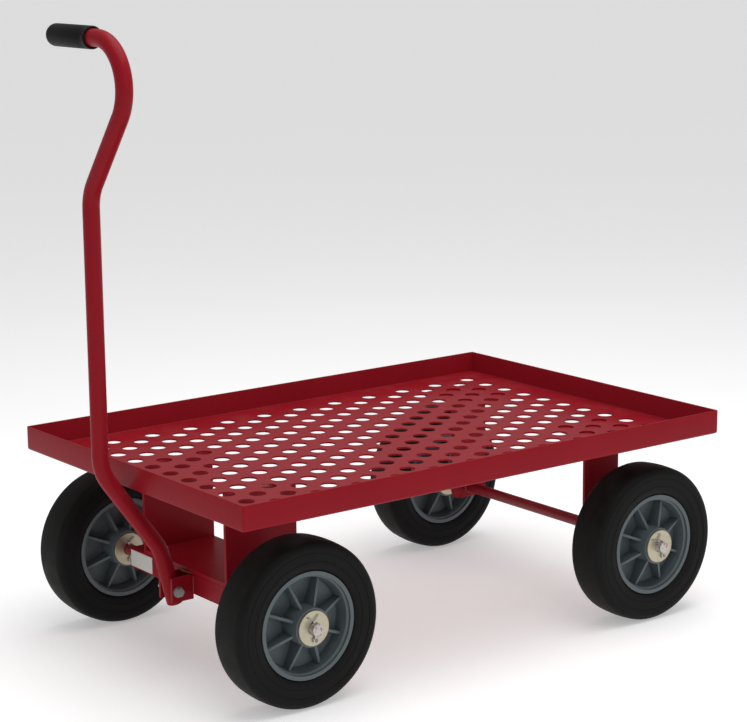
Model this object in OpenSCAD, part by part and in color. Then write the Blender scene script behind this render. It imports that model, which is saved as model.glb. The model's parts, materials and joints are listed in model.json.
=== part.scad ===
// Flatbed platform truck: a perforated tray deck on two fixed rear wheels and a steered
// front axle, pulled by a gooseneck handle. X points forward, Y to the truck's left, Z up.
// Z = 0 is the floor, and the origin lies under the middle of the truck's bounding box.

/* [Deck] */
// Length of the deck
deck_l = 914.4; // [760:0.1:1300]
// Width of the deck
deck_w = 609.6; // [560:0.1:900]
// Height of the deck's underside above the floor
deck_z = 289.5; // [280:0.5:360]
// Outside height of the upturned lip
lip_h = 38.1; // [20:0.1:80]
// Thickness of the deck sheet
sheet_t = 2.7; // [1.5:0.1:5]
// Diameter of the holes in the deck
hole_d = 25.4; // [10:0.1:28]
// Distance between rows of holes along the deck
hole_pitch_x = 36.6; // [32:0.1:60]
// Distance between holes across the deck
hole_pitch_y = 50.8; // [40:0.1:80]
// Least distance from a lip to the centre of a hole
hole_margin = 46; // [20:1:90]

/* [Wheels] */
// Diameter of the wheels
wheel_d = 250; // [236:1:270]
// Width of the tyres
tyre_w = 67; // [60:1:74]
// Radius of the tyres' shoulders
shoulder_r = 13; // [8:1:18]
// How much lower the tread is at its edges than in its middle
crown = 1.2; // [0.4:0.1:3]
// Diameter of the rims
rim_d = 160; // [140:1:176]
// Width of the rims over their raised rings
rim_w = 59; // [44:1:62]
// Length of the hubs
hub_l = 78; // [66:1:84]
// Diameter of the hubs
hub_d = 58; // [50:1:64]
// Thickness of the web between hub and rim
web_t = 7; // [4:0.5:12]
// Number of ribs on each face of a rim
rib_count = 8; // [5:1:12]
// Thickness of the ribs
rib_t = 4; // [2:0.5:6]
// Diameter of the bush in each hub
bush_d = 26; // [24:0.5:32]
// Distance from an end of the deck to the axle below it
axle_setback = 124; // [110:1:160]
// Distance between the middles of the front wheels
front_track = 503; // [496:1:540]
// Distance between the middles of the rear wheels
rear_track = 524; // [500:1:560]

/* [Axles] */
// Diameter of the axles
axle_d = 18; // [14:0.5:20]
// Radial running clearance on axles and kingpin
run_clear = 0.08; // [0.02:0.01:0.1]
// Diameter of the hub washers
washer_d = 52; // [40:1:56]
// Thickness of the hub washers
washer_t = 3; // [2:0.5:4]
// Play between parts that turn past each other
face_gap = 0.4; // [0.3:0.05:0.8]
// Wire diameter of the cotter pins
cotter_d = 4; // [3:0.5:5]
// Length of an axle past its outer cotter pin
axle_tip = 8; // [6:0.5:14]

/* [Rear brackets] */
// Width of a rear leg along the truck
leg_w = 73; // [50:1:100]
// Thickness of the rear legs
leg_t = 6; // [4:0.5:10]
// Distance between the outer faces of the rear legs
leg_span = 340; // [260:1:360]
// How far a rear leg reaches below the axle's middle
leg_drop = 17; // [12:0.5:30]
// Radius of a rear leg's lower corners
leg_corner = 15; // [5:0.5:20]
// Length of the plate above a rear leg
pad_l = 102; // [80:1:130]
// Width of the plate above a rear leg
pad_w = 115; // [60:1:130]
// Thickness of the plates above the rear legs
pad_t = 6; // [4:0.5:10]

/* [Front bracket] */
// Length of the bracket along the truck
bracket_l = 127; // [100:1:150]
// Width of the bracket over its legs
bracket_w = 232; // [160:1:300]
// Thickness of the bracket
bracket_t = 6; // [4:0.5:10]
// How far the bracket reaches ahead of the front axle
bracket_lead = 29; // [25:1:60]
// Diameter of the kingpin
kingpin_d = 16; // [12:0.5:20]
// Diameter of the thrust washer under the bracket
thrust_d = 64; // [40:1:90]
// Thickness of the thrust washer
thrust_t = 2; // [1:0.5:4]

/* [Front beam] */
// Length of the front beam
beam_l = 326; // [240:1:340]
// Width of the front beam along the truck
beam_w = 50.8; // [44:0.1:80]
// Height of the front beam
beam_h = 32; // [30:0.5:45]
// Thickness of the front beam's walls
beam_t = 5; // [3:0.5:6]
// How far the beam's top lies above the middle of the axle
beam_top = 19; // [17:0.5:25]
// Distance between the inner ends of the two stub axles
stub_gap = 84; // [70:1:140]
// Length of the blank plate on the beam
label_l = 62; // [30:1:90]
// Height of the blank plate on the beam
label_h = 26; // [10:1:28]
// Thickness of the blank plate
label_t = 0.8; // [0.3:0.1:2]

/* [Handle] */
// Diameter of the handle tube
tube_d = 25.4; // [20:0.1:27]
// Wall of the handle tube
tube_t = 2.1; // [1.5:0.1:4]
// Distance of the handle's pivot ahead of the front axle
pivot_lead = 53; // [53:0.5:60]
// Distance of the pivot above the floor
pivot_z = 121; // [115:0.5:130]
// Length of the tube behind the pivot
tube_tail = 22; // [16:0.5:22]
// Gap between the upright tube and the deck's lip
lip_gap = 6; // [3:0.5:15]
// Height of the grip's centre line above the floor
handle_z = 950.6; // [850:0.1:1100]
// Lean of the gooseneck away from the upright tube
neck_lean = 37.5; // [30:0.5:45]
// How far the gooseneck's centre line stands out to the left
neck_out = 101.8; // [90:0.1:120]
// Radius of the gooseneck's bend
neck_r = 67; // [55:1:75]
// Diameter of the grip
grip_d = 33; // [29:0.5:40]
// How far the open end of the grip lies to the left of the upright tube
grip_from = 22; // [10:1:30]
// Length of the grip
grip_l = 114; // [80:1:125]
// Thickness of the clevis ears
ear_t = 5; // [4:0.5:8]
// Length of the clevis ears ahead of the beam
ear_l = 38; // [36:0.5:44]
// Height of the clevis ears
ear_h = 38; // [34:0.5:38]
// Side play of the tube between the ears
ear_play = 1.2; // [0.5:0.1:3]
// Diameter of the pivot bolt
bolt_d = 8; // [6:0.5:12]

/* [Hidden] */
$fn = 96;
axle_x = deck_l / 2 - axle_setback;
axle_z = wheel_d / 2;
deck_top = deck_z + sheet_t;
lip_x = deck_l / 2;
beam_top_z = axle_z + beam_top;
plate_z = beam_top_z + thrust_t;
beam_front = axle_x + beam_w / 2;
pivot_x = axle_x + pivot_lead;

// Lower handle: corners as [x, z, bend radius], from the pivot up past the deck's lip
tail_dir = [18, 66.5] / norm([18, 66.5]);
lip_pass = [lip_x + tube_d * 0.6 + lip_gap, deck_z];
low_bend = [pivot_x, pivot_z] + 69 * tail_dir;
rise_x = lip_x + 44.3;
rise_z = deck_z + (rise_x - lip_pass[0]) * (lip_pass[1] - low_bend[1]) / (lip_pass[0] - low_bend[0]);

// Upper handle: corners as [y, z, bend radius], from the first bend of the neck to the grip
neck_corner_y = neck_out - neck_r + neck_r * tan((90 + neck_lean) / 2);
neck_start_z = handle_z - neck_corner_y / tan(neck_lean);
neck_start_r = 60;
upright_top = neck_start_z - neck_start_r * tan(neck_lean / 2);
upper_path = [
    [0, upright_top - 10, 0],
    [0, neck_start_z, neck_start_r],
    [neck_corner_y, handle_z, neck_r],
    [grip_from - grip_l + 6, handle_z, 0],
];
lower_path = [
    concat([pivot_x, pivot_z] - tube_tail * tail_dir, [0]),
    [low_bend[0], low_bend[1], 80],
    [rise_x, rise_z, 70],
    [rise_x, upright_top, 0],
];

// The truck reaches from the rear wheels or lip to the front of the grip
mid_x = (rise_x + grip_d / 2 - max(deck_l / 2, axle_x + wheel_d / 2)) / 2;
grip_round = 12;

// Stations along an axle, measured from the middle of its wheel
washer_in = hub_l / 2 + face_gap;
cotter_at = washer_in + washer_t + face_gap + cotter_d / 2;
// Lean of the cotter pins about the axle, positive towards the front
front_pin_tilt = 5;
rear_pin_tilt = 25;
axle_out = cotter_at + axle_tip;

paint = [0.55, 0.08, 0.12];
zinc = [0.72, 0.73, 0.72];
brass_zinc = [0.66, 0.62, 0.50];
rubber = [0.07, 0.07, 0.07];
plastic = [0.25, 0.28, 0.29];
bronze = [0.60, 0.48, 0.28];

// Moves a shape from the deck's own centre to the part's origin
module place() translate([-mid_x, 0, 0]) children();

// A cylinder along Y from y to y + l
module rod_y(x, y, z, l, d) translate([x, y, z]) rotate([-90, 0, 0]) cylinder(h = l, d = d);

// A hexagon prism along Z, sized across its flats
module hex(flats, h) cylinder(h = h, d = flats / cos(30), $fn = 6);

// ---- Deck ----

hole_rows = floor((deck_l / 2 - sheet_t - hole_margin) / hole_pitch_x);
hole_half = (deck_w / 2 - sheet_t - hole_margin) / hole_pitch_y;
// Holes in a row: a row shifted by half a pitch has an even number of them
function row_count(shifted) = shifted ? 2 * floor(hole_half + 0.5) : 2 * floor(hole_half) + 1;

module deck_tray() {
    inner = [deck_l - 2 * sheet_t, deck_w - 2 * sheet_t];
    color(paint) place() difference() {
        translate([-deck_l / 2, -deck_w / 2, deck_z]) cube([deck_l, deck_w, lip_h]);
        translate([-inner[0] / 2, -inner[1] / 2, deck_top]) cube([inner[0], inner[1], lip_h]);
        for (i = [-hole_rows:hole_rows]) {
            n = row_count((i + hole_rows) % 2 != 0);
            for (j = [0:n - 1])
                translate([i * hole_pitch_x, (j - (n - 1) / 2) * hole_pitch_y, deck_z - 1])
                    cylinder(h = sheet_t + 2, d = hole_d, $fn = 40);
        }
    }
}

// ---- Front bracket and kingpin ----

bracket_x0 = axle_x + bracket_lead - bracket_l;
// The kingpin is set this deep into the bracket's plate, short of its upper face
kingpin_seat = bracket_t - 1.5;

module front_bracket() {
    color(paint) place() difference() {
        translate([bracket_x0, -bracket_w / 2, plate_z])
            cube([bracket_l, bracket_w, deck_z - plate_z]);
        translate([bracket_x0 - 1, -bracket_w / 2 + bracket_t, plate_z + bracket_t])
            cube([bracket_l + 2, bracket_w - 2 * bracket_t, deck_z - plate_z]);
        translate([axle_x, 0, plate_z - 1]) cylinder(h = kingpin_seat + 1, d = kingpin_d);
    }
}

kingpin_washer_t = 3;
kingpin_nut_h = 12;
web_under = beam_top_z - beam_t;

module kingpin() {
    low = web_under - face_gap - kingpin_washer_t - kingpin_nut_h - 3;
    color(zinc) place() translate([axle_x, 0, low])
        cylinder(h = plate_z + kingpin_seat - low, d = kingpin_d);
}

module kingpin_washer() {
    color(zinc) place() translate([axle_x, 0, web_under - face_gap - kingpin_washer_t])
        difference() {
            cylinder(h = kingpin_washer_t, d = kingpin_d * 1.9);
            translate([0, 0, -1]) cylinder(h = kingpin_washer_t + 2, d = kingpin_d + 0.6);
        }
}

module kingpin_nut() {
    top = web_under - face_gap - kingpin_washer_t;
    color(zinc) place() translate([axle_x, 0, top - kingpin_nut_h]) difference() {
        hex(kingpin_d * 1.5, kingpin_nut_h);
        translate([0, 0, -1]) cylinder(h = kingpin_nut_h + 2, d = kingpin_d);
    }
}

module thrust_washer() {
    color(bronze) place() translate([axle_x, 0, plate_z - thrust_t + face_gap / 2])
        difference() {
            cylinder(h = thrust_t - face_gap / 2, d = thrust_d);
            translate([0, 0, -1]) cylinder(h = thrust_t + 2, d = kingpin_d + 0.4);
        }
}

// ---- Rear legs and axle ----

module rear_pad(side) {
    color(paint) place()
        translate([-axle_x - pad_l / 2, side * (leg_span - leg_t) / 2 - pad_w / 2, deck_z - pad_t])
            cube([pad_l, pad_w, pad_t]);
}

module rear_leg(side) {
    top = deck_z - pad_t;
    low = axle_z - leg_drop;
    color(paint) place() translate([-axle_x, side * (leg_span - leg_t) / 2, 0]) difference() {
        rotate([90, 0, 0]) translate([0, 0, -leg_t / 2]) linear_extrude(leg_t) union() {
            translate([-leg_w / 2, low + leg_corner]) square([leg_w, top - low - leg_corner]);
            translate([-leg_w / 2 + leg_corner, low]) square([leg_w - 2 * leg_corner, top - low]);
            for (s = [-1, 1])
                translate([s * (leg_w / 2 - leg_corner), low + leg_corner]) circle(leg_corner);
        }
        rod_y(0, -leg_t, axle_z, 2 * leg_t, axle_d);
    }
}

// An axle along Y with holes for the cotter pins on both sides of each listed wheel
module axle(x, y0, y1, wheels, tilt) {
    color(zinc) place() difference() {
        rod_y(x, y0, axle_z, y1 - y0, axle_d);
        for (w = wheels)
            for (s = [-1, 1])
                translate([x, w + s * cotter_at, axle_z]) rotate([0, tilt, 0])
                    translate([0, 0, -axle_d])
                        cylinder(h = 2 * axle_d, d = cotter_d + 0.4, $fn = 32);
    }
}

module rear_axle() {
    end = rear_track / 2 + axle_out;
    axle(-axle_x, -end, end, [-rear_track / 2, rear_track / 2], rear_pin_tilt);
}

module washer(x, y) {
    color(brass_zinc) place() difference() {
        rod_y(x, y, axle_z, washer_t, washer_d);
        rod_y(x, y - 1, axle_z, washer_t + 2, axle_d + 0.8);
    }
}

// One washer on each side of a wheel in the plane y
module washer_pair(x, y) {
    washer(x, y + washer_in);
    washer(x, y - washer_in - washer_t);
}

// A cotter pin up through the axle: eye below, two legs bent apart above
module cotter_pin(x, y, tilt) {
    eye_r = cotter_d * 0.9;
    color(zinc) place() translate([x, y, axle_z]) rotate([0, tilt, 0]) {
        translate([0, 0, -axle_d / 2 - 5]) cylinder(h = axle_d + 9, d = cotter_d, $fn = 32);
        translate([0, 0, -axle_d / 2 - 4.5 - eye_r]) rotate([90, 0, 0])
            rotate_extrude($fn = 40) translate([eye_r, 0]) circle(d = cotter_d * 0.6, $fn = 24);
        for (s = [-1, 1])
            translate([0, 0, axle_d / 2 + 2.5]) rotate([0, s * 52, 0])
                cylinder(h = 12, d = cotter_d * 0.55, $fn = 24);
    }
}

module cotter_pair(x, y, tilt) for (s = [-1, 1]) cotter_pin(x, y + s * cotter_at, tilt);

module rear_washers() for (s = [-1, 1]) washer_pair(-axle_x, s * rear_track / 2);
module rear_cotter_pins()
    for (s = [-1, 1]) cotter_pair(-axle_x, s * rear_track / 2, rear_pin_tilt);

// ---- Front beam, its stub axles and the clevis ----

module front_beam() {
    inside = beam_w - 2 * beam_t;
    color(paint) place() difference() {
        translate([axle_x - beam_w / 2, -beam_l / 2, beam_top_z - beam_h])
            cube([beam_w, beam_l, beam_h]);
        for (s = [-1, 1])
            translate([axle_x - inside / 2, s > 0 ? stub_gap / 2 + beam_t : -beam_l / 2 + beam_t,
                       beam_top_z - beam_h - 1])
                cube([inside, (beam_l - stub_gap) / 2 - 2 * beam_t, beam_h - beam_t + 1]);
        translate([axle_x - inside / 2, -stub_gap / 2, beam_top_z - beam_h - 1])
            cube([inside, stub_gap, beam_h - beam_t + 1]);
        for (s = [0, 1])
            mirror([0, s, 0])
                rod_y(axle_x, stub_gap / 2 - 1, axle_z, beam_l / 2, axle_d);
        translate([axle_x, 0, web_under - 1])
            cylinder(h = beam_t + 2, d = kingpin_d + 2 * run_clear);
    }
}

module front_axle(side) {
    inner = stub_gap / 2;
    outer = front_track / 2 + axle_out;
    y0 = side > 0 ? inner : -outer;
    axle(axle_x, y0, y0 + outer - inner, [side * front_track / 2], front_pin_tilt);
}

module front_washers() for (s = [-1, 1]) washer_pair(axle_x, s * front_track / 2);
module front_cotter_pins()
    for (s = [-1, 1]) cotter_pair(axle_x, s * front_track / 2, front_pin_tilt);

ear_inner = tube_d / 2 + ear_play;
ear_top = beam_top_z - 1;

module clevis_ear(side) {
    color(paint) place() difference() {
        translate([beam_front, side > 0 ? ear_inner : -ear_inner - ear_t, ear_top - ear_h])
            cube([ear_l, ear_t, ear_h]);
        rod_y(pivot_x, -ear_inner - ear_t - 1, pivot_z, 2 * (ear_inner + ear_t + 1), bolt_d);
    }
}

bolt_washer_t = 1.5;
bolt_head_h = bolt_d * 0.65;
bolt_nut_h = bolt_d * 0.8;
ear_outer = ear_inner + ear_t;

module handle_bolt() {
    y_head = ear_outer + bolt_washer_t;
    tip = -ear_outer - bolt_washer_t - bolt_nut_h - 3;
    color(zinc) place() {
        rod_y(pivot_x, tip, pivot_z, y_head - tip, bolt_d);
        translate([pivot_x, y_head, pivot_z]) rotate([-90, 0, 0])
            hex(bolt_d * 1.6, bolt_head_h);
    }
}

module handle_nut() {
    color(zinc) place() difference() {
        translate([pivot_x, -ear_outer - bolt_washer_t, pivot_z]) rotate([90, 0, 0])
            hex(bolt_d * 1.6, bolt_nut_h);
        rod_y(pivot_x, -ear_outer - 20, pivot_z, 20, bolt_d);
    }
}

module bolt_washers() {
    color(zinc) place() for (y = [ear_outer, -ear_outer - bolt_washer_t])
        difference() {
            rod_y(pivot_x, y, pivot_z, bolt_washer_t, bolt_d * 2.1);
            rod_y(pivot_x, y - 1, pivot_z, bolt_washer_t + 2, bolt_d + 0.4);
        }
}

module blank_plate() {
    color("gainsboro") place()
        translate([beam_front, -beam_l / 2 + 3, beam_top_z - (beam_h + label_h) / 2])
            cube([label_t, label_l, label_h]);
}

// ---- Handle ----

function unit(v) = v / norm(v);
function xz(p) = [p[0], p[1]];
// Length of straight tube that a bend takes up on each side of its corner
function bend_cut(a, b, c) =
    let (u = unit(xz(b) - xz(a)), v = unit(xz(c) - xz(b)))
    b[2] * tan(acos(u * v) / 2);
// Ends of the straight stretch between corners i and i + 1
function cut_at(p, i) = i == 0 || i == len(p) - 1 ? 0 : bend_cut(p[i - 1], p[i], p[i + 1]);
function stretch(p, i) =
    let (u = unit(xz(p[i + 1]) - xz(p[i])))
    [xz(p[i]) + u * cut_at(p, i), xz(p[i + 1]) - u * cut_at(p, i + 1)];

// Wall of the tube; a bend is drawn thinner on both sides, and its ends lie inside the straights
bend_thin = 0.1;
bend_end = 2;

module tube_ring(thin = 0) difference() {
    circle(d = tube_d - 2 * thin, $fn = 64);
    circle(d = tube_d - 2 * tube_t + 2 * thin, $fn = 64);
}

// The straight stretch of tube between corners i and i + 1
module straight_tube(p, i) {
    s = stretch(p, i);
    u = unit(s[1] - s[0]);
    translate([s[0][0], 0, s[0][1]]) rotate([0, atan2(u[0], u[1]), 0])
        linear_extrude(norm(s[1] - s[0])) tube_ring();
}

// The bend at corner i
module bent_tube(p, i) {
    before = stretch(p, i - 1);
    after = stretch(p, i);
    u = unit(before[1] - before[0]);
    v = unit(after[1] - after[0]);
    left = u[0] * v[1] - u[1] * v[0] > 0 ? 1 : -1;
    centre = before[1] + left * p[i][2] * [-u[1], u[0]];
    from = left > 0 ? before[1] - centre : after[0] - centre;
    over = bend_end / p[i][2] * 180 / PI;
    translate([centre[0], 0, centre[1]]) rotate([90, 0, 0])
        rotate([0, 0, atan2(from[1], from[0]) - over])
            rotate_extrude(angle = acos(u * v) + 2 * over, $fn = 96)
                translate([p[i][2], 0]) tube_ring(bend_thin);
}

bush_wall = 2;

module handle_tube() {
    color(paint) place() {
        difference() {
            straight_tube(lower_path, 0);
            rod_y(pivot_x, -tube_d, pivot_z, 2 * tube_d, bolt_d + 2 * (bush_wall + run_clear));
        }
        for (i = [1:2]) {
            bent_tube(lower_path, i);
            straight_tube(lower_path, i);
        }
        translate([rise_x, 0, 0]) rotate([0, 0, 90]) for (i = [1:2]) {
            bent_tube(upper_path, i);
            straight_tube(upper_path, i);
        }
    }
}

// The sleeve across the tube that turns on the pivot bolt
module handle_bush() {
    color(zinc) place() difference() {
        rod_y(pivot_x, -ear_inner + face_gap, pivot_z, 2 * (ear_inner - face_gap),
              bolt_d + 2 * (bush_wall + run_clear));
        rod_y(pivot_x, -tube_d, pivot_z, 2 * tube_d, bolt_d + 2 * run_clear);
    }
}

// Points of a quarter circle of radius r about c, from angle a0 to a0 + 90
function quarter(c, r, a0) = [for (i = [0:6]) c + r * [cos(a0 + i * 15), sin(a0 + i * 15)]];

module hand_grip() {
    r = grip_d / 2;
    color(rubber) place() translate([rise_x, grip_from, handle_z])
        rotate([90, 0, 0]) difference() {
            rotate_extrude($fn = 72) polygon(concat(
                [[0, 0], [r - 2.5, 0], [r, 2.5]],
                quarter([r - grip_round, grip_l - grip_round], grip_round, 0),
                [[0, grip_l]]));
            translate([0, 0, -1]) cylinder(h = grip_l - 5, d = tube_d);
        }
}

// ---- Wheels ----

tyre_seat = rim_d / 2 - 3;

module tyre(x, y) {
    half = tyre_w / 2;
    seat = rim_w / 2 - 3;
    tread_r = wheel_d / 2 - crown;
    shoulder = quarter([tread_r - shoulder_r, half - shoulder_r], shoulder_r, 0);
    // From the middle of the tread over a shoulder and down the side to the rim
    side = concat(
        [[wheel_d / 2, 0], [wheel_d / 2 - crown * 0.25, (half - shoulder_r) * 0.55]],
        shoulder,
        [[rim_d / 2 + 9, half - 0.6], [rim_d / 2 + 2, half - 3.2], [rim_d / 2 + 0.2, seat + 1]],
        [[rim_d / 2 + 0.2, seat], [tyre_seat, seat]]);
    other = [for (i = [len(side) - 1:-1:1]) [side[i][0], -side[i][1]]];
    color(rubber) place() translate([x, y, axle_z]) rotate([-90, 0, 0])
        rotate_extrude($fn = 144) polygon(concat(side, other));
}

// Outline of the rim: ring lips, tyre seat, tapered barrel and the web to the hub
module rim(x, y) {
    ring = rim_d / 2;
    lip = 3;
    barrel_r = ring - 9;
    half = rim_w / 2;
    profile = [
        [hub_d / 2, web_t / 2], [barrel_r - 4, web_t / 2], [barrel_r, half - 6],
        [ring - 6, half - 4], [ring - 6, half], [ring, half],
        [ring, half - lip], [tyre_seat, half - lip],
    ];
    flipped = [for (i = [len(profile) - 1:-1:0]) [profile[i][0], -profile[i][1]]];
    color(plastic) place() translate([x, y, axle_z]) rotate([-90, 0, 0]) {
        difference() {
            union() {
                rotate_extrude($fn = 120) polygon(concat(profile, flipped));
                translate([0, 0, -hub_l / 2]) cylinder(h = hub_l, d = hub_d);
                for (i = [0:rib_count - 1], s = [0, 1])
                    rotate([0, 0, (i + 0.5) * 360 / rib_count]) mirror([0, 0, s])
                        rotate([90, 0, 0]) translate([0, 0, -rib_t / 2])
                            linear_extrude(rib_t) polygon([
                                [hub_d / 2 - 4, 0], [hub_d / 2 - 4, hub_l / 2 - 10],
                                [barrel_r - 2, half - 12], [barrel_r - 2, 0]]);
            }
            translate([0, 0, -hub_l / 2 - 1]) cylinder(h = hub_l + 2, d = bush_d);
        }
    }
}

module bush(x, y) {
    color(bronze) place() difference() {
        rod_y(x, y - hub_l / 2, axle_z, hub_l, bush_d);
        rod_y(x, y - hub_l / 2 - 1, axle_z, hub_l + 2, axle_d + 2 * run_clear);
    }
}

deck_tray();
front_bracket();
kingpin();
kingpin_washer();
kingpin_nut();
thrust_washer();
rear_pad(1);  // rear_pad_left
rear_pad(-1);  // rear_pad_right
rear_leg(1);  // rear_leg_left
rear_leg(-1);  // rear_leg_right
rear_axle();
rear_washers();
rear_cotter_pins();
front_beam();
front_axle(1);  // front_axle_left
front_axle(-1);  // front_axle_right
front_washers();
front_cotter_pins();
clevis_ear(1);  // clevis_ear_left
clevis_ear(-1);  // clevis_ear_right
handle_bolt();
handle_nut();
bolt_washers();
blank_plate();
handle_tube();
handle_bush();
hand_grip();
tyre(axle_x, front_track / 2);  // tyre_front_left
rim(axle_x, front_track / 2);  // rim_front_left
bush(axle_x, front_track / 2);  // bush_front_left
tyre(axle_x, -front_track / 2);  // tyre_front_right
rim(axle_x, -front_track / 2);  // rim_front_right
bush(axle_x, -front_track / 2);  // bush_front_right
tyre(-axle_x, rear_track / 2);  // tyre_rear_left
rim(-axle_x, rear_track / 2);  // rim_rear_left
bush(-axle_x, rear_track / 2);  // bush_rear_left
tyre(-axle_x, -rear_track / 2);  // tyre_rear_right
rim(-axle_x, -rear_track / 2);  // rim_rear_right
bush(-axle_x, -rear_track / 2);  // bush_rear_right
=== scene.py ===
"""Looks for the flatbed platform truck: a perforated tray deck, four solid wheels, a steered
front axle and a gooseneck handle. Metres, X forward, Y to the truck's left, Z up."""

import json
import math

import bmesh
import bpy
from mathutils import Matrix, Vector


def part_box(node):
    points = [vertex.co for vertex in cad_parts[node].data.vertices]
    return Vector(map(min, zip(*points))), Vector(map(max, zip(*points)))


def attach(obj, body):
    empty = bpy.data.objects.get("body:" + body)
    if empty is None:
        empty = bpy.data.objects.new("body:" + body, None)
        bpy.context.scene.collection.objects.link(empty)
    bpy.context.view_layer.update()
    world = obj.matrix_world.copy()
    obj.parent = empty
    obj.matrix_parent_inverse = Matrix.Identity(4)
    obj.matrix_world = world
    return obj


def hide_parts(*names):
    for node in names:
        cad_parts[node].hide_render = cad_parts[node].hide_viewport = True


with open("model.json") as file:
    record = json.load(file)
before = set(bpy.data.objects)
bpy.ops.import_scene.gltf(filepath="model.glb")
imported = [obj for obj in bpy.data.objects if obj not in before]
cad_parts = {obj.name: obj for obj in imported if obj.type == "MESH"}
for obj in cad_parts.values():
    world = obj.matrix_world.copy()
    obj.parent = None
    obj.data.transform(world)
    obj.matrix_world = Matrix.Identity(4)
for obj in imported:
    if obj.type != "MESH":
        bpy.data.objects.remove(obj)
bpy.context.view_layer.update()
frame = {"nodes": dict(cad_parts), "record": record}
nodes = frame["nodes"]
MM = 0.001


def node_centre(name):
    low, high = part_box(name)
    return (low + high) / 2


def node_size(name):
    low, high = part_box(name)
    return high - low


# ---- Camera ----

CAMERA_PLACE = Vector((2.0548, 2.7398, 1.1370))
CAMERA_AZIMUTH = math.radians(54.72)
CAMERA_ELEVATION = math.radians(12.12)
CAMERA_ROLL = math.radians(-0.96)
CAMERA_LENS = 107.42
CAMERA_SHIFT = (0.1013, 0.0199)


def make_camera():
    """A long lens at the truck's front left corner, a little above the deck."""
    az, el, roll = CAMERA_AZIMUTH, CAMERA_ELEVATION, CAMERA_ROLL
    back = Vector((math.cos(az) * math.cos(el), math.sin(az) * math.cos(el), math.sin(el)))
    level = Vector((-math.sin(az), math.cos(az), 0))
    raised = back.cross(level)
    right = math.cos(roll) * level + math.sin(roll) * raised
    up = math.cos(roll) * raised - math.sin(roll) * level
    data = bpy.data.cameras.new("camera")
    data.sensor_width = 36
    data.lens = CAMERA_LENS
    data.shift_x, data.shift_y = CAMERA_SHIFT
    camera = bpy.data.objects.new("camera", data)
    turn = Matrix((right, up, back)).transposed().to_4x4()
    camera.matrix_world = Matrix.Translation(CAMERA_PLACE) @ turn
    bpy.context.scene.collection.objects.link(camera)
    bpy.context.scene.camera = camera


make_camera()


# ---- Shader maths ----

class Sock:
    """A shader value that takes part in Python expressions; each operation adds a Math node."""

    def __init__(self, tree, link):
        self.tree = tree
        self.link = link

    def maths(self, operation, *values, clamp=False):
        node = self.tree.nodes.new("ShaderNodeMath")
        node.operation = operation
        node.use_clamp = clamp
        for socket, value in zip(node.inputs, values):
            if isinstance(value, Sock):
                self.tree.links.new(value.link, socket)
            else:
                socket.default_value = value
        return Sock(self.tree, node.outputs[0])

    def __add__(self, other):
        return self.maths("ADD", self, other)

    def __sub__(self, other):
        return self.maths("SUBTRACT", self, other)

    def __rsub__(self, other):
        return self.maths("SUBTRACT", other, self)

    def __mul__(self, other):
        return self.maths("MULTIPLY", self, other)

    def __truediv__(self, other):
        return self.maths("DIVIDE", self, other)

    def __pow__(self, other):
        return self.maths("POWER", self, other)

    __radd__ = __add__
    __rmul__ = __mul__

    def clamped(self):
        return self.maths("ADD", self, 0.0, clamp=True)

    def sine(self):
        return self.maths("SINE", self)

    def absolute(self):
        return self.maths("ABSOLUTE", self)

    def root(self):
        return self.maths("SQRT", self)

    def step(self, low, high):
        """0 below low, 1 above high, smooth between."""
        node = self.tree.nodes.new("ShaderNodeMapRange")
        node.interpolation_type = "SMOOTHSTEP"
        self.tree.links.new(self.link, node.inputs["Value"])
        node.inputs["From Min"].default_value = low
        node.inputs["From Max"].default_value = high
        return Sock(self.tree, node.outputs[0])


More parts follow.
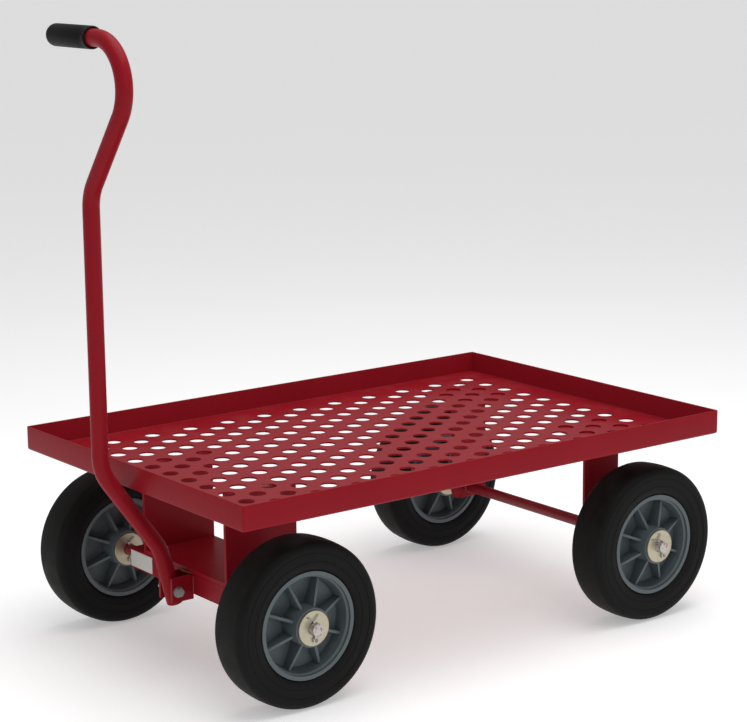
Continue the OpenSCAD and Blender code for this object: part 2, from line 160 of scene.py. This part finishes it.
class Finish:
    """A material under construction: makes nodes and joins them to the surface shader."""

    def __init__(self, name):
        self.material = bpy.data.materials.new(name)
        self.material.use_nodes = True
        self.tree = self.material.node_tree
        self.shader = self.tree.nodes["Principled BSDF"]
        self.place = self.make("ShaderNodeTexCoord", output="Object")

    def make(self, kind, settings=None, output=0, **sockets):
        node = self.tree.nodes.new(kind)
        for key, value in (settings or {}).items():
            setattr(node, key, value)
        for key, value in sockets.items():
            place = int(key[1:]) if key[1:].isdigit() else key.replace("_", " ")
            socket = node.inputs[place]
            if isinstance(value, Sock):
                self.tree.links.new(value.link, socket)
            else:
                socket.default_value = value
        return Sock(self.tree, node.outputs[output])

    def noise(self, scale, detail=2.0, roughness=0.5, place=None):
        return self.make("ShaderNodeTexNoise", Vector=place or self.place, Scale=scale,
                         Detail=detail, Roughness=roughness)

    def stretched(self, x=1.0, y=1.0, z=1.0):
        return self.make("ShaderNodeVectorMath", {"operation": "MULTIPLY"},
                         _0=self.place, _1=(x, y, z))

    def axes(self):
        node = self.tree.nodes.new("ShaderNodeSeparateXYZ")
        self.tree.links.new(self.place.link, node.inputs[0])
        return [Sock(self.tree, out) for out in node.outputs]

    def facing(self):
        """The surface's own upward lean: 1 on a top, 0 on a wall, -1 underneath."""
        node = self.tree.nodes.new("ShaderNodeNewGeometry")
        split = self.tree.nodes.new("ShaderNodeSeparateXYZ")
        self.tree.links.new(node.outputs["Normal"], split.inputs[0])
        return Sock(self.tree, split.outputs[2])

    def mix(self, factor, first, second):
        """Colour from first to second as factor goes from 0 to 1."""
        return self.make("ShaderNodeMix", {"data_type": "RGBA"}, output=2, _0=factor,
                         _6=first if isinstance(first, Sock) else (*first, 1),
                         _7=second if isinstance(second, Sock) else (*second, 1))

    def bump(self, height, distance, strength=1.0, normal=None):
        extra = {"Normal": normal} if normal else {}
        return self.make("ShaderNodeBump", Height=height, Distance=distance,
                         Strength=strength, **extra)

    def surface(self, **sockets):
        for key, value in sockets.items():
            socket = self.shader.inputs[key.replace("_", " ")]
            if isinstance(value, Sock):
                self.tree.links.new(value.link, socket)
            elif isinstance(value, tuple) and len(value) == 3:
                socket.default_value = (*value, 1)
            else:
                socket.default_value = value
        return self.material


PAINT_DEEP = (0.235, 0.0060, 0.0130)
PAINT_FRESH = (0.290, 0.0090, 0.0170)


def red_powder_coat():
    """Semi-gloss red powder coat: orange peel, slow colour drift, dust on tops, dry scuffs."""
    f = Finish("red_powder_coat")
    drift = f.noise(7, 3, 0.55)
    grain = f.noise(420, 2)
    scuff_place = f.stretched(1.0, 3.5, 3.5)
    scuffs = f.noise(38, 6, 0.72, scuff_place).step(0.60, 0.74)
    dust = (f.facing().step(0.5, 0.95) * f.noise(16, 5, 0.65).step(0.42, 0.72)).clamped()
    base = f.mix(drift, PAINT_DEEP, PAINT_FRESH)
    base = f.mix(scuffs * 0.16, base, (0.36, 0.035, 0.040))
    base = f.mix(dust * 0.05, base, (0.48, 0.24, 0.21))
    peel = f.noise(260, 2, 0.5)
    return f.surface(
        Base_Color=base,
        Roughness=(0.30 + drift * 0.06 + scuffs * 0.16 + dust * 0.12 + grain * 0.05).clamped(),
        Coat_Weight=(0.05 - scuffs * 0.04).clamped(),
        Coat_Roughness=0.16,
        Specular_IOR_Level=0.06,
        Normal=f.bump(peel + grain * 0.25, 0.00022, 0.5),
    )


def solid_rubber(half_width):
    """Solid tyre rubber: fine mould rings on the sides, lathe lines and dust on the tread."""
    f = Finish("tyre_rubber")
    x, y, z = f.axes()
    radius = (x * x + z * z).root()
    tread = y.absolute().step(half_width * 0.86, half_width * 0.62)
    rings = (radius * 2600).sine() * (1 - tread)
    lines = (y * 3300).sine() * tread
    grit = f.noise(240, 4, 0.65)
    smear = f.noise(13, 5, 0.68).step(0.44, 0.74)
    wear = (tread * f.noise(34, 5, 0.66).step(0.36, 0.66)).clamped()
    base = f.mix(grit, (0.0042, 0.0043, 0.0043), (0.0085, 0.0084, 0.0080))
    base = f.mix(smear * 0.30, base, (0.018, 0.019, 0.019))
    base = f.mix(wear * 0.25, base, (0.026, 0.026, 0.023))
    relief = f.bump(rings * 0.5 + lines * 0.45, 0.00012, 0.55)
    return f.surface(
        Base_Color=base,
        Roughness=(0.46 + grit * 0.12 + smear * 0.12 + wear * 0.14).clamped(),
        Specular_IOR_Level=0.10,
        Normal=f.bump(grit, 0.00025, 0.35, relief),
    )


def moulded_plastic():
    """Grey filled plastic of the rims: faint flow marks along the ribs and a dry speckle."""
    f = Finish("rim_plastic")
    speckle = f.noise(520, 3, 0.6)
    flow = f.noise(26, 4, 0.6)
    dust = f.noise(60, 5, 0.7).step(0.48, 0.78)
    base = f.mix(flow, (0.066, 0.086, 0.094), (0.092, 0.116, 0.124))
    base = f.mix(speckle.step(0.55, 0.75) * 0.30, base, (0.14, 0.165, 0.172))
    base = f.mix(dust * 0.22, base, (0.18, 0.185, 0.17))
    return f.surface(
        Base_Color=base,
        Roughness=(0.44 + flow * 0.10 + dust * 0.15).clamped(),
        Normal=f.bump(speckle + flow * 0.5, 0.0002, 0.35),
    )


def plated_steel(name, dull, bright, cloud_scale=70):
    """Zinc plating: crystalline clouds, fine drawing lines and dark specks."""
    f = Finish(name)
    cloud = f.noise(cloud_scale, 4, 0.6)
    lines = f.noise(900, 2, 0.5, f.stretched(1, 0.12, 1))
    specks = f.noise(420, 3, 0.7).step(0.66, 0.76)
    base = f.mix(cloud, dull, bright)
    base = f.mix(specks * 0.5, base, tuple(0.35 * v for v in dull))
    return f.surface(
        Base_Color=base,
        Metallic=(0.82 - specks * 0.4).clamped(),
        Roughness=(0.30 + cloud * 0.20 + specks * 0.2).clamped(),
        Normal=f.bump(lines, 0.00008, 0.5),
    )


def masked_axle():
    """Axle bar: red paint between the wheels, bare plated steel with red overspray at the ends."""
    f = Finish("masked_axle")
    x, y, z = f.axes()
    edge = f.noise(60, 4, 0.6)
    painted = 1 - (y.absolute() + edge * 0.02).step(0.300, 0.304)
    spray = f.noise(210, 4, 0.7).step(0.50, 0.62)
    red = (painted + spray * 0.75).clamped()
    cloud = f.noise(80, 4, 0.6)
    steel = f.mix(cloud, (0.36, 0.35, 0.33), (0.62, 0.61, 0.58))
    return f.surface(
        Base_Color=f.mix(red, steel, PAINT_DEEP),
        Metallic=(0.85 - red * 0.85).clamped(),
        Roughness=(0.34 + cloud * 0.12).clamped(),
        Normal=f.bump(f.noise(260, 2), 0.0002, 0.4),
    )


def sintered_bronze():
    """Pressed bronze bush: fine pores and oil-dark patches."""
    f = Finish("sintered_bronze")
    pores = f.noise(1400, 2, 0.6).step(0.60, 0.70)
    oil = f.noise(90, 4, 0.6)
    base = f.mix(oil, (0.30, 0.19, 0.085), (0.48, 0.33, 0.16))
    base = f.mix(pores * 0.7, base, (0.05, 0.035, 0.02))
    return f.surface(
        Base_Color=base,
        Metallic=(0.85 - pores * 0.5).clamped(),
        Roughness=(0.34 + oil * 0.16).clamped(),
        Normal=f.bump(1 - pores, 0.0001, 0.5),
    )


def grip_vinyl():
    """Soft black vinyl of the grip: dipped skin with a fine leather-like grain."""
    f = Finish("grip_vinyl")
    grain = f.make("ShaderNodeTexVoronoi", {"feature": "DISTANCE_TO_EDGE"},
                   Vector=f.place, Scale=520.0).step(0.0, 0.16)
    haze = f.noise(45, 5, 0.65)
    base = f.mix(haze, (0.0042, 0.0041, 0.0038), (0.0095, 0.0092, 0.0086))
    base = f.mix((1 - grain) * 0.4, base, (0.003, 0.003, 0.003))
    return f.surface(
        Base_Color=base,
        Roughness=(0.40 + haze * 0.16).clamped(),
        Specular_IOR_Level=0.12,
        Normal=f.bump(grain, 0.00012, 0.5),
    )


def label_film():
    """Blank satin film on the beam: slight yellowing and grime specks."""
    f = Finish("blank_film")
    tone = f.noise(24, 3, 0.5)
    grime = f.noise(150, 5, 0.7).step(0.60, 0.78)
    base = f.mix(tone, (0.60, 0.60, 0.57), (0.70, 0.69, 0.64))
    base = f.mix(grime * 0.45, base, (0.28, 0.24, 0.20))
    return f.surface(
        Base_Color=base,
        Roughness=(0.30 + tone * 0.12 + grime * 0.25).clamped(),
        Normal=f.bump(f.noise(60, 2), 0.0002, 0.25),
    )


def weld_metal():
    """Painted-over weld bead: the same red, with ripples across the bead."""
    f = Finish("painted_weld")
    ripple = f.noise(330, 3, 0.6)
    base = f.mix(ripple, tuple(0.75 * v for v in PAINT_DEEP), PAINT_FRESH)
    return f.surface(
        Base_Color=base,
        Roughness=(0.30 + ripple * 0.14).clamped(),
        Coat_Weight=0.25,
        Normal=f.bump(ripple, 0.0005, 0.6),
    )


WHEELS = ("front_left", "front_right", "rear_left", "rear_right")
tyre_width = node_size("tyre_front_left").y

RED = red_powder_coat()
WELD = weld_metal()
RUBBER = solid_rubber(tyre_width / 2)
PLASTIC = moulded_plastic()
ZINC = plated_steel("zinc_steel", (0.33, 0.33, 0.32), (0.60, 0.60, 0.58))
YELLOW_ZINC = plated_steel("yellow_zinc", (0.36, 0.32, 0.22), (0.60, 0.55, 0.42), 45)
BRONZE = sintered_bronze()
VINYL = grip_vinyl()
FILM = label_film()
AXLE = masked_axle()

FINISH_OF_SLOT = {
    "red_paint": RED, "zinc_steel": ZINC, "yellow_zinc": YELLOW_ZINC, "tyre_rubber": RUBBER,
    "rim_plastic": PLASTIC, "bush_bronze": BRONZE, "grip_rubber": VINYL, "blank_label": FILM,
}


def finish_cad_nodes():
    """Gives every CAD node the finish of its material slot, and the axles their masked one."""
    for part in frame["record"]["subparts"]:
        node = nodes[part["node"]]
        node.data.materials.clear()
        finish = AXLE if "_axle" in part["node"] else FINISH_OF_SLOT[part["material_slot"]]
        node.data.materials.append(finish)


finish_cad_nodes()


# ---- Mesh helpers ----

def add_mesh(name, vertices, faces, material, smooth_angle=40):
    mesh = bpy.data.meshes.new(name)
    mesh.from_pydata([tuple(v) for v in vertices], [], faces)
    work = bmesh.new()
    work.from_mesh(mesh)
    bmesh.ops.remove_doubles(work, verts=work.verts, dist=1e-7)
    bmesh.ops.recalc_face_normals(work, faces=work.faces)
    work.to_mesh(mesh)
    work.free()
    mesh.materials.append(material)
    piece = bpy.data.objects.new(name, mesh)
    bpy.context.scene.collection.objects.link(piece)
    mesh.shade_smooth()
    mesh.set_sharp_from_angle(angle=math.radians(smooth_angle))
    return piece


def revolve_y(name, centre, outline, material, segments=128, smooth_angle=40):
    """Turns a closed outline of (radius, along Y) about the Y axis through centre."""
    vertices = []
    for i in range(segments):
        a = 2 * math.pi * i / segments
        vertices += [(r * math.sin(a), y, r * math.cos(a)) for r, y in outline]
    n = len(outline)
    faces = []
    for i in range(segments):
        a, b = i * n, (i + 1) % segments * n
        faces += [(a + j, a + (j + 1) % n, b + (j + 1) % n, b + j) for j in range(n)]
    piece = add_mesh(name, vertices, faces, material, smooth_angle)
    piece.location = centre
    return piece


def arc(centre, radius, start, end, steps=6):
    """Points on an arc; angles in degrees from the first axis."""
    spread = [math.radians(start + (end - start) * i / steps) for i in range(steps + 1)]
    return [(centre[0] + radius * math.cos(a), centre[1] + radius * math.sin(a)) for a in spread]


# ---- Deck ----

deck_low, deck_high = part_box("deck_tray")
SHEET = 2.7 * MM
HOLE_R = 12.7 * MM
HOLE_STEP = (36.6 * MM, 50.8 * MM)
HOLE_MARGIN = 46 * MM
EDGE_ROUND = 0.35 * MM
FOLD_R = 4.2 * MM
# Flat edge of the lip's section that the floor laps
LIP_FLAT = 1.5 * MM
# The punched floor runs a little way inside the lip's flat edge, and is this much thinner
SEAM_STEP = 0.02 * MM
SEAM_LAP = 1.2 * MM


def rounded_loop(half_l, half_w, r, centre_x, z, steps=6):
    """Points around a rectangle with rounded corners at height z."""
    points = []
    for quarter_turn, (sx, sy) in enumerate(((1, 1), (-1, 1), (-1, -1), (1, -1))):
        corner = (sx * (half_l - r), sy * (half_w - r))
        for x, y in arc(corner, r, 90 * quarter_turn, 90 * quarter_turn + 90, steps):
            points.append((centre_x + x, y, z))
    return points


def deck_floor(half_l, half_w, centre_x):
    """The punched sheet, as a flat curve with a round spline for every hole."""
    data = bpy.data.curves.new("deck_floor", "CURVE")
    data.dimensions = "2D"
    data.fill_mode = "BOTH"
    data.extrude = SHEET / 2 - EDGE_ROUND - SEAM_STEP
    data.bevel_depth = EDGE_ROUND
    data.bevel_resolution = 1
    data.offset = -EDGE_ROUND

    def loop(points):
        spline = data.splines.new("POLY")
        spline.points.add(len(points) - 1)
        for point, (x, y) in zip(spline.points, points):
            point.co = (x, y, 0, 1)
        spline.use_cyclic_u = True

    loop([(centre_x + sx * half_l, sy * half_w) for sx, sy in ((1, 1), (-1, 1), (-1, -1), (1, -1))])
    inner_l = (deck_high.x - deck_low.x) / 2 - SHEET
    inner_w = (deck_high.y - deck_low.y) / 2 - SHEET
    rows = int((inner_l - HOLE_MARGIN) / HOLE_STEP[0])
    reach = (inner_w - HOLE_MARGIN) / HOLE_STEP[1]
    for i in range(-rows, rows + 1):
        count = 2 * int(reach + 0.5) if (i + rows) % 2 else 2 * int(reach) + 1
        for j in range(count):
            y = (j - (count - 1) / 2) * HOLE_STEP[1]
            loop(arc((centre_x + i * HOLE_STEP[0], y), HOLE_R, 0, 360, 40)[:-1])
    curve = bpy.data.objects.new("deck_floor", data)
    bpy.context.scene.collection.objects.link(curve)
    settled = curve.evaluated_get(bpy.context.evaluated_depsgraph_get())
    mesh = bpy.data.meshes.new_from_object(settled)
    bpy.data.objects.remove(curve)
    mesh.transform(Matrix.Translation((0, 0, deck_low.z + SHEET / 2)))
    return mesh


def deck_lip(half_l, half_w, centre_x):
    """The upturned lip and the bend below it, as one section carried round the corners."""
    base, top = deck_low.z, deck_high.z
    edge = 0.9 * MM
    inner = FOLD_R - SHEET
    corner_r = 3.2 * MM
    section = [(FOLD_R + LIP_FLAT, base)]
    section += [(FOLD_R - a, base + FOLD_R - b) for a, b in arc((0, 0), FOLD_R, 90, 0, 6)]
    section += [(edge - a, top - edge + b) for a, b in arc((0, 0), edge, 0, 90, 3)]
    section += [(SHEET - edge + a, top - edge + b) for a, b in arc((0, 0), edge, 90, 0, 3)]
    section += [(FOLD_R - a, base + FOLD_R - b) for a, b in arc((0, 0), inner, 0, 90, 4)]
    section += [(FOLD_R + LIP_FLAT, base + SHEET)]
    vertices, loops = [], []
    for inset, z in section:
        r = max(corner_r - inset, 0.4 * MM)
        loops.append(len(vertices))
        vertices += rounded_loop(half_l - inset, half_w - inset, r, centre_x, z)
    n = loops[1]
    faces = []
    for i in range(len(loops)):
        a, b = loops[i], loops[(i + 1) % len(loops)]
        faces += [(a + j, a + (j + 1) % n, b + (j + 1) % n, b + j) for j in range(n)]
    return vertices, faces


def make_deck():
    centre = node_centre("deck_tray")
    half_l, half_w = (deck_high.x - deck_low.x) / 2, (deck_high.y - deck_low.y) / 2
    vertices, faces = deck_lip(half_l, half_w, centre.x)
    lip = add_mesh("deck_tray_skin", vertices, faces, RED, 35)
    work = bmesh.new()
    work.from_mesh(lip.data)
    lap = FOLD_R + LIP_FLAT - SEAM_LAP
    floor = deck_floor(half_l - lap, half_w - lap, centre.x)
    work.from_mesh(floor)
    work.to_mesh(lip.data)
    work.free()
    bpy.data.meshes.remove(floor)
    lip.data.materials.clear()
    lip.data.materials.append(RED)
    lip.data.polygons.foreach_set("material_index", [0] * len(lip.data.polygons))
    lip.data.shade_smooth()
    lip.data.set_sharp_from_angle(angle=math.radians(32))
    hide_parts("deck_tray")
    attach(lip, "chassis")


make_deck()


# ---- Wheels ----

def tyre_outline(radius, half_width, seat_r, rim_r):
    """Half section of the tyre from the middle of the tread to its seat: (radius, across)."""
    shoulder = 12.5 * MM
    crown = 1.2 * MM
    tread_r = radius - crown
    tread = [(radius - crown * (i / 5) ** 2, (half_width - shoulder) * i / 5) for i in range(5)]
    bend = arc((tread_r - shoulder, half_width - shoulder), shoulder, 0, 78, 8)
    ridge = []
    for r in (tread_r - 17 * MM, tread_r - 30 * MM):
        ridge += [(r + 0.9 * MM, half_width - 0.4 * MM), (r + 0.5 * MM, half_width + 0.15 * MM),
                  (r - 0.5 * MM, half_width + 0.15 * MM), (r - 0.9 * MM, half_width - 0.5 * MM)]
    low = [(rim_r + 8 * MM, half_width - 1.0 * MM), (rim_r + 3.4 * MM, half_width - 2.6 * MM),
           (rim_r + 1.2 * MM, half_width - 5.2 * MM), (rim_r + 0.4 * MM, half_width - 8 * MM),
           (seat_r, half_width - 8 * MM)]
    return tread + bend + ridge + low


def make_tyre(wheel):
    node = f"tyre_{wheel}"
    size = node_size(node)
    rim_r = node_size(f"rim_{wheel}").z / 2
    side = tyre_outline(size.z / 2, size.y / 2, rim_r - 2.5 * MM, rim_r)
    other = [(r, -y) for r, y in reversed(side[1:])]
    tyre = revolve_y(f"{node}_skin", node_centre(node), side + other, RUBBER, 160, 34)
    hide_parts(node)
    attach(tyre, f"wheel_{wheel}")


for wheel in WHEELS:
    make_tyre(wheel)


# ---- Grip ----

def make_grip():
    """Dipped sleeve: rolled open edge, two shallow end rings and a rounded closed end."""
    low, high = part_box("hand_grip")
    r = (high.x - low.x) / 2
    length = high.y - low.y
    tube_r = 12.75 * MM
    round_r = 13.2 * MM
    outline = [(tube_r, 14 * MM), (tube_r, 1.2 * MM)]
    outline += arc((r - 1.9 * MM, 1.9 * MM), 1.9 * MM, -90, 0, 5)
    for y in (7 * MM, 10 * MM, 13 * MM):
        outline += [(r, y - 0.7 * MM), (r - 0.45 * MM, y), (r, y + 0.7 * MM)]
    outline += arc((r - round_r, length - round_r), round_r, 0, 90, 9)
    outline += [(0.3 * MM, length), (0.3 * MM, 14 * MM)]
    centre = node_centre("hand_grip")
    mirrored = [(radius, -y) for radius, y in outline]
    grip = revolve_y("hand_grip_skin", (centre.x, high.y, centre.z), mirrored, VINYL, 96, 40)
    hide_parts("hand_grip")
    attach(grip, "handle")


make_grip()


# ---- Welds ----

class Beads:
    """Collects rippled weld beads into one piece."""

    def __init__(self, radius):
        self.radius = radius
        self.vertices = []
        self.faces = []

    def along(self, points, closed=False, sides=8):
        """One bead through closely spaced points."""
        first = len(self.vertices)
        n = len(points)
        for i, point in enumerate(points):
            point = Vector(point)
            ahead = Vector(points[(i + 1) % n] if closed or i < n - 1 else points[i])
            behind = Vector(points[i - 1] if closed or i > 0 else points[i])
            run = (ahead - behind).normalized()
            side = run.orthogonal().normalized()
            up = run.cross(side)
            end = 1 if closed else min(1, 0.35 + 0.5 * min(i, n - 1 - i))
            r = self.radius * end * (1 + 0.13 * math.sin(i * 2.1) + 0.05 * math.sin(i * 0.73))
            for k in range(sides):
                a = 2 * math.pi * k / sides
                self.vertices.append(point + r * (math.cos(a) * side + math.sin(a) * up))
        for i in range(n if closed else n - 1):
            a, b = first + i * sides, first + (i + 1) % n * sides
            self.faces += [(a + k, a + (k + 1) % sides, b + (k + 1) % sides, b + k)
                           for k in range(sides)]
        if not closed:
            self.faces.append(tuple(first + k for k in range(sides)))
            self.faces.append(tuple(first + (n - 1) * sides + k for k in range(sides)))

    def line(self, start, end, step=1.6 * MM):
        start, end = Vector(start), Vector(end)
        n = max(3, int((end - start).length / step))
        self.along([start.lerp(end, i / n) for i in range(n + 1)])

    def ring_y(self, centre, radius, step=1.6 * MM):
        """A bead round a rod that lies along Y."""
        n = int(2 * math.pi * radius / step)
        turn = [2 * math.pi * i / n for i in range(n)]
        x, y, z = centre
        self.along([(x + radius * math.cos(a), y, z + radius * math.sin(a)) for a in turn], True)

    def make(self, name, body):
        piece = add_mesh(name, self.vertices, self.faces, WELD, 80)
        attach(piece, body)


axle_r = node_size("rear_axle").z / 2


def weld_chassis():
    beads = Beads(1.9 * MM)
    low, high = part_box("front_bracket")
    inset = 4 * MM
    for y in (low.y, high.y):
        beads.line((low.x + inset, y, high.z), (high.x - inset, y, high.z))
    for side in ("left", "right"):
        pad_low, pad_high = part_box(f"rear_pad_{side}")
        leg_low, leg_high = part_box(f"rear_leg_{side}")
        for y in (pad_low.y, pad_high.y):
            beads.line((pad_low.x + inset, y, pad_high.z), (pad_low.x + 34 * MM, y, pad_high.z))
            beads.line((pad_high.x - 34 * MM, y, pad_high.z), (pad_high.x - inset, y, pad_high.z))
        for x in (pad_low.x, pad_high.x):
            beads.line((x, pad_low.y + 30 * MM, pad_high.z), (x, pad_high.y - 30 * MM, pad_high.z))
        for y in (leg_low.y, leg_high.y):
            beads.line((leg_low.x + inset, y, leg_high.z), (leg_high.x - inset, y, leg_high.z))
            beads.ring_y((node_centre(f"rear_leg_{side}").x, y, node_centre("rear_axle").z), axle_r)
    beads.make("chassis_welds", "chassis")


def weld_front_axle():
    beads = Beads(1.5 * MM)
    low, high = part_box("front_beam")
    centre = node_centre("front_beam")
    axle_z = node_centre("front_axle_left").z
    for y in (low.y, high.y):
        beads.ring_y((centre.x, y, axle_z), axle_r)
    for side in ("left", "right"):
        ear_low, ear_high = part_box(f"clevis_ear_{side}")
        y = ear_high.y if side == "left" else ear_low.y
        beads.line((high.x, y, max(low.z, ear_low.z) + 2 * MM), (high.x, y, ear_high.z - 2 * MM))
        ear_from, ear_to = ear_low.y + 1 * MM, ear_high.y - 1 * MM
        beads.line((high.x, ear_from, ear_high.z), (high.x, ear_to, ear_high.z))
    beads.make("front_axle_welds", "front_axle")


weld_chassis()
weld_front_axle()


# ---- Broken edges on the plates and bars ----

def break_edges(name, width, segments=2):
    """Rounds a CAD node's sharp edges as dressing and paint do."""
    node = nodes[name]
    weld = node.modifiers.new("join", "WELD")
    weld.merge_threshold = 1e-6
    edge = node.modifiers.new("broken_edges", "BEVEL")
    edge.width = width
    edge.segments = segments
    edge.limit_method = "ANGLE"
    edge.angle_limit = math.radians(50)
    edge.harden_normals = True


BROKEN_EDGES = {
    0.9 * MM: ("front_bracket", "front_beam", "rear_pad_left", "rear_pad_right",
               "rear_leg_left", "rear_leg_right"),
    0.8 * MM: ("clevis_ear_left", "clevis_ear_right"),
    0.35 * MM: ("kingpin_nut", "handle_nut", "handle_bolt", "kingpin_washer", "thrust_washer"),
    0.5 * MM: ("front_washers", "rear_washers", "rear_axle", "front_axle_left",
               "front_axle_right"),
}

for width, names in BROKEN_EDGES.items():
    for name in names:
        break_edges(name, width)


# ---- Floor and light ----

def make_stage():
    f = Finish("studio_floor")
    tone = f.noise(1.5, 2)
    pale = f.surface(Base_Color=f.mix(tone, (0.86, 0.86, 0.86), (0.88, 0.88, 0.88)),
                     Roughness=0.9, Emission_Color=(1.0, 1.0, 1.0), Emission_Strength=0.34)
    corners = [(-30, -30, 0), (30, -30, 0), (30, 30, 0), (-30, 30, 0)]
    add_mesh("floor", corners, [(0, 1, 2, 3)], pale)


def area_light(name, place, aim, size, power):
    data = bpy.data.lights.new(name, "AREA")
    data.shape = "RECTANGLE"
    data.size, data.size_y = size
    data.energy = power
    lamp = bpy.data.objects.new(name, data)
    lamp.location = place
    lamp.rotation_euler = (Vector(aim) - Vector(place)).to_track_quat("-Z", "Y").to_euler()
    bpy.context.scene.collection.objects.link(lamp)


# Strength of the surroundings as light; the view itself sees them at full white
SKY_LIGHT = 0.43


def make_light():
    world = bpy.data.worlds.new("studio")
    world.use_nodes = True
    tree = world.node_tree
    sky = tree.nodes["Background"]
    sky.inputs["Color"].default_value = (1, 1, 1, 1)
    seen = tree.nodes.new("ShaderNodeLightPath").outputs["Is Camera Ray"]
    strength = tree.nodes.new("ShaderNodeMapRange")
    strength.inputs["To Min"].default_value = SKY_LIGHT
    strength.inputs["To Max"].default_value = 1.0
    tree.links.new(seen, strength.inputs["Value"])
    tree.links.new(strength.outputs["Result"], sky.inputs["Strength"])
    bpy.context.scene.world = world
    bpy.context.scene.view_settings.view_transform = "Standard"
    area_light("overhead", (-0.2, 0.3, 2.6), (0, 0, 0.2), (2.6, 2.2), 46)
    area_light("left_fill", (0.4, 3.0, 1.5), (0, 0, 0.3), (1.8, 1.8), 6)


make_stage()
make_light()
